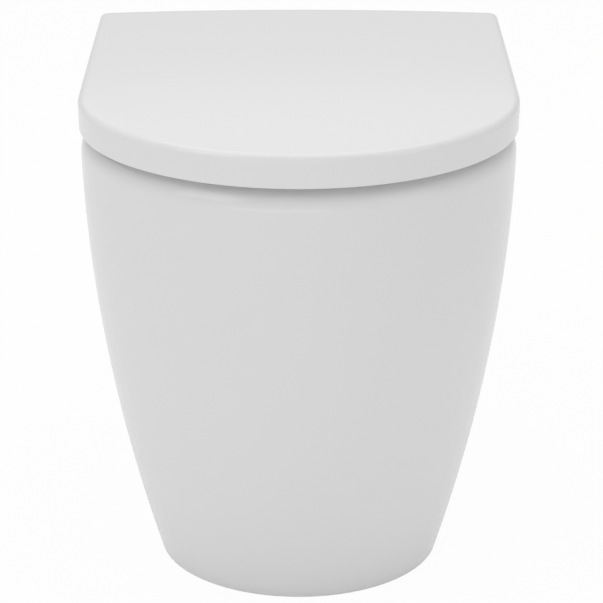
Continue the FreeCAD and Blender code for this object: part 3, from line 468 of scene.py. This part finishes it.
underZ = deckZ - panLook["deck"]


# how far the pan has swollen at a height, from nothing at the foot to one at the deck
def panSwell(height):
    return 1 - (1 - min(height / deckZ, 1)) ** panLook["swellPower"]


def panHalf(height):
    return between(panLook["footWidth"] / 2, deckHigh.x, panSwell(height))


# the skirt's outline at a height, drawn in by an inset
def panOutline(height, inset=0.0):
    footY = frontY + panLook["footSetback"] + panLook["footWidth"] / 2
    centreY = between(footY, deckLow.y + deckHigh.x, panSwell(height))
    return atHeight(uPath(panHalf(height) - inset, centreY, wallY), height)


# the outer face, from the foot's rounded edge to the deck's
def skirtRows(steps=44):
    look = panLook
    rows = [panOutline(drop, draw) for drop, draw in reversed(roundRows(look["footRound"], 3))]
    top = deckZ - look["rimRound"]
    rows += [panOutline(between(look["footRound"], top, step / steps)) for step in range(1, steps)]
    return rows + [panOutline(deckZ - drop, draw) for drop, draw in roundRows(look["rimRound"], 6)]


# the bowl's sweep: rows of half width, height and how far the outline has drawn together over the sump
def sweepRows(half, sumpHalf, top, foot, steps):
    look = panLook
    start = look["settleStartShare"]
    rows = []
    for step in range(1, steps + 1):
        share = step / steps
        fall = between(1 - (1 - share) ** look["fallPower"], share, look["evenFallShare"])
        settle = max(0.0, (share - start) / (1 - start)) ** look["settlePower"]
        rows.append((between(half, sumpHalf, share), between(top, foot, fall), settle))
    return rows


# rows round the seeds that draw together from the bowl's top down to the sump's floor
def bowlRows(seeds, sweep, sumpHalf, sump):
    rows = []
    for half, height, settle in sweep:
        spine = [between(end, sumpY, settle) for end in bowlSpine]
        rows.append(atHeight(slotPlaces(seeds, half, spine), height))
    for height, share in sump:
        rows.append(atHeight(slotPlaces(seeds, sumpHalf * share, (sumpY, sumpY)), height))
    return rows


# the deck, the lip with its cove, the bowl and the sump, as they show from above
def basinRows(rimLoop):
    look = panLook
    lipLoop = slotPlaces(rimLoop, bowlHalf + look["lipRound"], bowlSpine)
    rows = [atHeight([one.lerp(other, share) for one, other in zip(rimLoop, lipLoop)], deckZ)
            for share in look["deckShares"]]
    for drop, draw in reversed(roundRows(look["lipRound"], 6)):
        rows.append(atHeight(slotPlaces(rimLoop, bowlHalf + draw, bowlSpine), deckZ - drop))
    for drop, draw in roundRows(look["cove"], 5):
        rows.append(atHeight(slotPlaces(rimLoop, bowlHalf - draw, bowlSpine), ledgeZ + drop))
    foot = look["sumpTop"] + look["sumpEdge"]
    sweep = sweepRows(bowlHalf - look["cove"], look["sumpHalf"], ledgeZ, foot, 26)
    return rows + bowlRows(rimLoop, sweep, look["sumpHalf"], look["sumpInside"])


# the hidden side of the same: the deck's underside and the outside of the bowl
def hollowRows(hollowLoop):
    look = panLook
    neckHalf = bowlHalf + look["bowlWall"]
    neckLoop = slotPlaces(hollowLoop, neckHalf, bowlSpine)
    neckZ = ledgeZ - look["bowlWall"]
    rows = [atHeight(hollowLoop, underZ), atHeight(neckLoop, underZ), atHeight(neckLoop, neckZ)]
    sumpHalf = look["sumpHalf"] + look["bowlWall"]
    sweep = sweepRows(neckHalf - look["neckIn"], sumpHalf, neckZ, look["sumpTop"], 13)
    return rows + bowlRows(hollowLoop, sweep, sumpHalf, look["sumpOutside"])


def panSkin(steps=24):
    look = panLook
    outer = skirtRows()
    inner = [panOutline(underZ * step / steps, look["wall"]) for step in range(steps + 1)]
    rimBack = backPath(panHalf(deckZ) - look["rimRound"], wallY)
    hollowBack = backPath(panHalf(underZ) - look["wall"], wallY)
    bm = bmesh.new()
    drawRows(bm, outer, closed=False)
    drawRows(bm, inner, closed=False)
    drawRows(bm, [outer[0], inner[0]], closed=False)
    closeRow(bm, drawRows(bm, basinRows(fromAbove(outer[-1]) + rimBack)))
    closeRow(bm, drawRows(bm, hollowRows(fromAbove(inner[-1]) + hollowBack)))
    # the upright edges of the open back and the deck's back edge are one flat face
    ring = [row[0] for row in outer] + atHeight(reversed(rimBack), deckZ)
    ring += [row[-1] for row in reversed(outer)] + [row[-1] for row in inner]
    ring += atHeight(hollowBack, underZ) + [row[0] for row in reversed(inner)]
    closeRow(bm, startRow(bm, ring))
    return pieceFrom("chinaPan", bm, china)


# places along the trap's centre line: y, z and the angle of travel
def trapLine():
    look = panLook
    lean, fall = math.radians(look["riseAngle"]), math.radians(look["fallAngle"])
    riseZ = look["trapHeight"] + look["riseRadius"]
    crownZ = look["crownHeight"] - look["crownRadius"]
    fallZ = look["outletHeight"] + look["fallRadius"]
    riseY = frontY + look["riseStart"]
    run = (crownZ - riseZ + (look["crownRadius"] + look["riseRadius"]) * math.cos(lean)) / math.tan(lean)
    crownY = riseY + (look["riseRadius"] + look["crownRadius"]) * math.sin(lean) + run
    run = (crownZ - fallZ + (look["crownRadius"] + look["fallRadius"]) * math.cos(fall)) / math.tan(fall)
    fallY = crownY + (look["crownRadius"] + look["fallRadius"]) * math.sin(fall) + run
    line = []
    for y, z, radius, first, last, steps in (
            (riseY, riseZ, look["riseRadius"], 0, look["riseAngle"], 12),
            (crownY, crownZ, -look["crownRadius"], look["riseAngle"], -look["fallAngle"], 18),
            (fallY, fallZ, look["fallRadius"], -look["fallAngle"], 0, 8)):
        for step in range(steps + 1):
            angle = math.radians(between(first, last, step / steps))
            line.append((y + radius * math.sin(angle), z - radius * math.cos(angle), angle))
    return line


def trapTube(name, radius, startY, endY, steps=40):
    line = [(startY, panLook["trapHeight"], 0)] + trapLine() + [(endY, panLook["outletHeight"], 0)]
    turns = [2 * math.pi * step / steps for step in range(steps)]
    rows = []
    for y, z, angle in line:
        up = radius * Vector((0, -math.sin(angle), math.cos(angle)))
        rows.append([Vector((radius * math.cos(turn), y, z)) + up * math.sin(turn) for turn in turns])
    bm = bmesh.new()
    row = startRow(bm, rows[0])
    closeRow(bm, row)
    for places in rows[1:]:
        row = drawOut(bm, row, places)
    closeRow(bm, row)
    return pieceFrom(name, bm)


# a rod along the pan's middle line, between two distances from the front
def levelRod(name, width, height, startY, endY, steps=64):
    return rod(name, width / 2, (0, startY, height), (0, endY, height), steps)


# the boss, the pocket and the screw's way of a side fixing, and the deck hole above it
def fixingTools(side):
    look = panLook
    y, z = (capLow.y + capHigh.y) / 2, (capLow.z + capHigh.z) / 2
    skinX = between(look["footWidth"] / 2, deckHigh.x, look["footLeanShare"] * z / deckZ)
    faceX = skinX - look["wall"] - look["bossDepth"]
    boss = rod("boss", look["boss"] / 2, (side * faceX, y, z), (side * (skinX - look["wall"] / 2), y, z))
    cutters = [
        rod("deckHole", look["deckHole"] / 2, (side * postX, axisY, underZ - over),
            (side * postX, axisY, deckZ + over)),
        rod("capPocket", look["capPocket"] / 2, (side * (skinX - look["capDepth"]), y, z),
            (side * (skinX + 2 * over), y, z)),
        rod("screwWay", look["screwBore"] / 2, (side * (faceX - over), y, z), (side * skinX, y, z)),
    ]
    return boss, cutters


def buildPan():
    look = panLook
    pan = panSkin()
    outletY, outletZ = wallY - look["outletSetback"], look["outletHeight"]
    inletY, inletZ = wallY - look["inletSetback"], look["inletHeight"]
    trapRadius, hornWidth = look["trapBore"] / 2, look["socketBore"] + 2 * look["inletWall"]
    adders = [
        trapTube("trapBody", trapRadius + look["trapWall"], sumpY + look["trapBodyStart"], outletY),
        levelRod("spigot", look["spigotWidth"], outletZ, outletY - look["spigotLength"], outletY),
        levelRod("horn", hornWidth, inletZ, bowlBackY + look["hornOverlap"], inletY),
    ]
    cutters = [
        trapTube("trapWay", trapRadius, sumpY, outletY + over),
        levelRod("socket", look["socketBore"], inletZ, inletY - look["socketDepth"], inletY + over),
        levelRod("channel", look["channelBore"], inletZ, bowlBackY - look["channelReach"], inletY),
    ]
    for side in (-1, 1):
        boss, holes = fixingTools(side)
        adders.append(boss)
        cutters += holes
    carve(pan, adders, "UNION")
    carve(pan, cutters, "DIFFERENCE")
    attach(pan, "pan")
    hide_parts(*panNodes)
    return pan


# Hinge lugs of the lid and the seat

lugLook = {
    "radius": 0.0105,
    "length": 0.048,
    "gap": 0.0003,  # between a lug and its hinge block
    "blockWidth": 0.03,
    "running": 0.00005,  # clearance round a shaft or a damper
    "boreEnd": 0.001,
    "damperLength": 0.044,
    "shaftRadius": 0.004,
    "shaftReach": 0.022,
}


# both lugs of a piece, their bores and their spans along X
# inward is -1 for lugs between the hinge blocks and 1 for lugs outside them
def lugTools(name, inward, dampedSide):
    look = lugLook
    lugs, bores, spans = [], [], []
    for side in (-1, 1):
        first = side * (postX + inward * (look["blockWidth"] / 2 + look["gap"]))
        way = side * inward
        last = first + way * look["length"]
        if side == dampedSide:
            radius, depth = (damperHigh.z - damperLow.z) / 2 + look["running"], look["damperLength"]
        else:
            radius, depth = look["shaftRadius"] + look["running"], look["shaftReach"]
        lugs.append(rod(name + "Lug", look["radius"], (first, axisY, axisZ), (last, axisY, axisZ), 56))
        bores.append(rod(name + "Bore", radius, (first - way * look["boreEnd"], axisY, axisZ),
                         (first + way * (depth + look["boreEnd"]), axisY, axisZ)))
        spans.append((min(first, last), max(first, last)))
    return lugs, bores, spans


# The lid

lidLook = {
    "edgeRound": 0.006,
    "draft": 0.0005,  # how far the edge face leans in at its foot
    "footRound": 0.0004,
    "shoulderDrop": 0.0095,  # from the top down to the end of the edge face
    "wall": 0.004,
    "insideEdge": 0.001,
    "insideRound": 0.003,
    "back": 0.0095,
    "cornerRound": 0.007,
    "cornerLeast": 0.002,
    "cornerShare": 0.6,  # how much of an inset a corner's round gives up
    "acrossRadius": 5.0,  # the crown's radii across and along
    "alongRadius": 15.0,
    "topCentre": 0.02,  # from the nose's centre back to where the top's rows close
    "topShares": (0.97, 0.9, 0.8, 0.68, 0.55, 0.42, 0.3, 0.2, 0.12, 0.05),
    "undersideShares": (0.8, 0.5, 0.2, 0.05),
    "hingeGap": 0.3,
    "heelRound": 0.008,
    "underside": 0.0108,  # above the hinge axis
}


# how far the lid's top falls away from its middle
def crownAt(place):
    look = lidLook
    alongY = place.y - (frontY + axisY + look["back"]) / 2
    return place.x ** 2 / (2 * look["acrossRadius"]) + alongY ** 2 / (2 * look["alongRadius"])


# the lid's outline drawn in by an inset; follow is how much of the crown it takes up
def lidRow(height, inset, follow=0.0):
    look = lidLook
    corner = max(look["cornerRound"] - inset * look["cornerShare"], look["cornerLeast"])
    loop = dLoop(lidHigh.x - inset, frontY + lidHigh.x, axisY + look["back"] - inset, corner)
    return [Vector((place.x, place.y, height - follow * crownAt(place))) for place in loop]


# the outside: foot, leaning edge face, rounded edge and the crowned top
def lidOutside(centre, steps=6):
    look = lidLook
    low, top = lidLow.z, lidHigh.z
    footZ, shoulderZ = low + look["footRound"], top - look["shoulderDrop"]
    foot = reversed(roundRows(look["footRound"], 3))
    rows = [lidRow(low + drop, look["draft"] + draw) for drop, draw in foot]
    for step in range(1, steps + 1):
        share = step / steps
        rows.append(lidRow(between(footZ, shoulderZ, share), look["draft"] * (1 - share), share))
    rows += [lidRow(top - drop, draw, 1) for drop, draw in roundRows(look["edgeRound"], 8)]
    edge = fromAbove(rows[-1])
    for share in look["topShares"]:
        flats = [centre.lerp(place, share) for place in edge]
        rows.append([Vector((*flat, top - crownAt(flat))) for flat in flats])
    return rows


# the inside, from the foot's inner edge up to the flat underside
def lidInside(centre, under):
    look = lidLook
    low, inner = lidLow.z, look["draft"] + look["wall"]
    rows = [lidRow(low, look["draft"] + look["footRound"]), lidRow(low, inner - look["insideEdge"]),
            lidRow(low + look["insideEdge"], inner)]
    rows += [lidRow(under - drop, inner + draw) for drop, draw in roundRows(look["insideRound"], 4)]
    edge = fromAbove(rows[-1])
    for share in look["undersideShares"]:
        rows.append(atHeight([centre.lerp(place, share) for place in edge], under))
    return rows


# the gap between the lid's back corners that clears the hinges, and the round under its back edge
def lidCutters(under):
    look = lidLook
    low, backY, heel, gapHalf = lidLow.z, axisY + look["back"], look["heelRound"], look["hingeGap"] / 2
    turn = arcPlaces((backY - heel, low + heel), heel, 270, 360, 10)
    corner = [(backY + over, low + heel), (backY + over, low - over), (backY - heel, low - over)]
    gap = brick("hingeGap", (-gapHalf, backY - look["wall"] - over, low - over),
                (gapHalf, backY + over, under))
    return [gap, bar("heel", [(place.x, place.y) for place in turn] + corner, lidHigh.x + over)]


def buildLid():
    look = lidLook
    under = axisZ + look["underside"]
    centre = Vector((0, frontY + lidHigh.x + look["topCentre"]))
    bm = bmesh.new()
    closeRow(bm, drawRows(bm, lidOutside(centre)))
    closeRow(bm, drawRows(bm, lidInside(centre, under)))
    lid = pieceFrom("resinLid", bm, resin)
    carve(lid, lidCutters(under), "DIFFERENCE")
    lugs, bores, spans = lugTools("lid", -1, 1)
    radius, webTop = lugLook["radius"], under + look["wall"] / 2
    webs = [brick("lidWeb", (first, axisY - radius, axisZ), (last, axisY + radius / 2, webTop))
            for first, last in spans]
    carve(lid, lugs + webs, "UNION")
    carve(lid, bores, "DIFFERENCE")
    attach(lid, "lid")
    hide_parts("lid")
    return lid


# The seat ring

seatLook = {
    "thickness": 0.02,
    "outerRound": 0.005,
    "innerRound": 0.008,
    "underRound": 0.0015,
    "cornerRound": 0.02,
    "holeFront": 0.07,
    "holeLength": 0.28,
    "holeWidth": 0.218,
    "back": 0.016,  # from the hinge axis forward to the ring
    "topShares": (0.25, 0.5, 0.75),
    "armThickness": 0.016,
    "armDrop": 0.0002,  # below the ring's top, so that the faces don't coincide
}
seatTopZ = ringLow.z + seatLook["thickness"]
seatBackY = axisY - seatLook["back"]


def seatOutline(height, inset=0.0):
    corner = seatLook["cornerRound"] - inset
    return atHeight(dLoop(ringHigh.x - inset, ringLow.y + ringHigh.x, seatBackY - inset, corner), height)


# the hole's outline, widened by a grow
def seatHole(height, grow):
    half = seatLook["holeWidth"] / 2
    holeFrontY = frontY + seatLook["holeFront"]
    spine = (holeFrontY + half, holeFrontY + seatLook["holeLength"] - half)
    return atHeight(slotPlaces(fromAbove(seatOutline(height)), half + grow, spine), height)


# all round the ring's section: outside, top, hole and back to the underside
def seatRows():
    look = seatLook
    low, top = ringLow.z, seatTopZ
    rows = [seatOutline(low + drop, draw) for drop, draw in reversed(roundRows(look["underRound"], 3))]
    rows += [seatOutline(top - drop, draw) for drop, draw in roundRows(look["outerRound"], 6)]
    inner = [seatHole(top - drop, draw) for drop, draw in reversed(roundRows(look["innerRound"], 7))]
    edge = rows[-1]
    rows += [[one.lerp(other, share) for one, other in zip(edge, inner[0])] for share in look["topShares"]]
    rows += inner
    rows += [seatHole(low + drop, draw) for drop, draw in roundRows(look["underRound"], 3)]
    return rows + [rows[0]]


def buildSeat():
    look = seatLook
    bm = bmesh.new()
    drawRows(bm, seatRows())
    seat = pieceFrom("resinSeat", bm, resin)
    lugs, bores, spans = lugTools("seat", 1, -1)
    arms = [brick("seatArm", (first, seatBackY - look["cornerRound"], seatTopZ - look["armThickness"]),
                  (last, axisY, seatTopZ - look["armDrop"])) for first, last in spans]
    carve(seat, lugs + arms, "UNION")
    carve(seat, bores, "DIFFERENCE")
    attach(seat, "seat")
    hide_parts("seat_ring")
    return seat


# The release buttons

buttonLook = {
    "edgeRound": 0.0008,
    "slotDepth": 0.0025,
    "wireRoom": 0.0003,  # above and below the clip's wire
}


# a push button with a slot in its back that takes the bow of the latch clip when it is pressed
def buildButton(hand):
    look = buttonLook
    node = "release_button_" + hand
    low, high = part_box(node)
    clipLow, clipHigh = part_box("latch_clips")
    button = brick("acetalButton_" + hand, low, high, look["edgeRound"])
    button.data.materials.append(acetal)
    way = brick("clipWay", (low.x - over, high.y - look["slotDepth"], clipLow.z - look["wireRoom"]),
                (high.x + over, high.y + over, clipHigh.z + look["wireRoom"]))
    carve(button, [way], "DIFFERENCE")
    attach(button, hand + "_button")
    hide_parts(node)
    return button


buildPan()
print("pan modelled")
buildLid()
print("lid modelled")
buildSeat()
print("seat modelled")
for hand in ("left", "right"):
    buildButton(hand)
print("buttons modelled")


# Studio

studioLook = {
    "cameraPlace": (0.0, -2.26415, 1.05023),
    "cameraPitch": 20.412,
    "cameraLens": 161.71,
    "cameraShift": 0.0043,
    "cameraReach": 50,
    "lampAim": (0.0, 0.0, 0.25),
    "floorColour": "#fbfbfb",
    "floorReach": 12,
    "floorShown": 0.95,  # the rest is the floor's own shading, with the shadow
    "floorMirrored": 0.4,
    "worldColour": "#ffffff",
    "worldStrength": 0.5,
    "worldShown": 1.0,
    "worldMirrored": 0.2,
    # name, place, width and height, and power in watts
    "lamps": (
        ("keyLamp", (-2.3, -1.9, 2.4), (1.8, 1.8), 14),
        ("fillLamp", (2.4, -1.6, 1.4), (1.6, 2.2), 5.5),
        ("frontLamp", (-0.5, -3.2, 0.1), (3.0, 0.2), 5),
        ("topLamp", (0.0, 0.2, 2.8), (3.2, 3.2), 30),
        ("backLamp", (0.0, 3.9, 2.35), (4.5, 1.5), 5),
    ),
}


def addCamera():
    look = studioLook
    data = bpy.data.cameras.new("camera")
    data.lens = look["cameraLens"]
    data.sensor_width = 36
    data.shift_x = look["cameraShift"]
    data.clip_end = look["cameraReach"]
    camera = bpy.data.objects.new("camera", data)
    camera.location = look["cameraPlace"]
    camera.rotation_euler = (math.radians(90 - look["cameraPitch"]), 0, 0)
    bpy.context.scene.collection.objects.link(camera)
    bpy.context.scene.camera = camera


def addLamp(name, place, size, power):
    data = bpy.data.lights.new(name, "AREA")
    data.shape = "RECTANGLE"
    data.size, data.size_y = size
    data.energy = power
    lamp = bpy.data.objects.new(name, data)
    lamp.location = place
    aim = Vector(studioLook["lampAim"]) - Vector(place)
    lamp.rotation_euler = aim.to_track_quat("-Z", "Y").to_euler()
    bpy.context.scene.collection.objects.link(lamp)


# how white a surface shows to the camera and to rays that mirror or pass through, over its own shading
def shownWhite(owner, cameraShare, mirroredShare):
    rays = addNode(owner, "ShaderNodeLightPath")
    seen = addNode(owner, "ShaderNodeMath", {"operation": "MULTIPLY", 1: cameraShare},
                   {0: (rays, "Is Camera Ray")})
    mirrored = addNode(owner, "ShaderNodeMath", {"operation": "MAXIMUM"},
                       {0: (rays, "Is Glossy Ray"), 1: (rays, "Is Transmission Ray")})
    return addNode(owner, "ShaderNodeMath", {"operation": "MULTIPLY_ADD", 1: mirroredShare},
                   {0: (mirrored, 0), 2: (seen, 0)})


# a pale floor that the camera sees as white, but for the shadow under the object
def addFloor():
    look = studioLook
    bm = bmesh.new()
    bmesh.ops.create_grid(bm, x_segments=1, y_segments=1, size=look["floorReach"])
    material = bpy.data.materials.new("paintedFloor")
    material.use_nodes = True
    material.node_tree.nodes.clear()
    matt = addNode(material, "ShaderNodeBsdfDiffuse", {"Color": linearColour(look["floorColour"])})
    glow = addNode(material, "ShaderNodeEmission", {"Color": linearColour("#ffffff"), "Strength": 1.0})
    white = shownWhite(material, look["floorShown"], look["floorMirrored"])
    blend = addNode(material, "ShaderNodeMixShader", {}, {0: (white, 0), 1: (matt, 0), 2: (glow, 0)})
    addNode(material, "ShaderNodeOutputMaterial", {}, {"Surface": (blend, 0)})
    floor = pieceFrom("floor", bm, material)


# an even light from all round that the camera sees as white
def lightWorld():
    look = studioLook
    world = bpy.data.worlds.new("studio")
    bpy.context.scene.world = world
    world.use_nodes = True
    world.node_tree.nodes.clear()
    light = addNode(world, "ShaderNodeBackground",
                    {"Color": linearColour(look["worldColour"]), "Strength": look["worldStrength"]})
    glow = addNode(world, "ShaderNodeBackground", {"Color": linearColour("#ffffff"), "Strength": 1.0})
    white = shownWhite(world, look["worldShown"], look["worldMirrored"])
    blend = addNode(world, "ShaderNodeMixShader", {}, {0: (white, 0), 1: (light, 0), 2: (glow, 0)})
    addNode(world, "ShaderNodeOutputWorld", {}, {"Surface": (blend, 0)})


addCamera()
for lamp in studioLook["lamps"]:
    addLamp(*lamp)
addFloor()
lightWorld()
bpy.context.scene.view_settings.view_transform = "Standard"
print("studio ready")
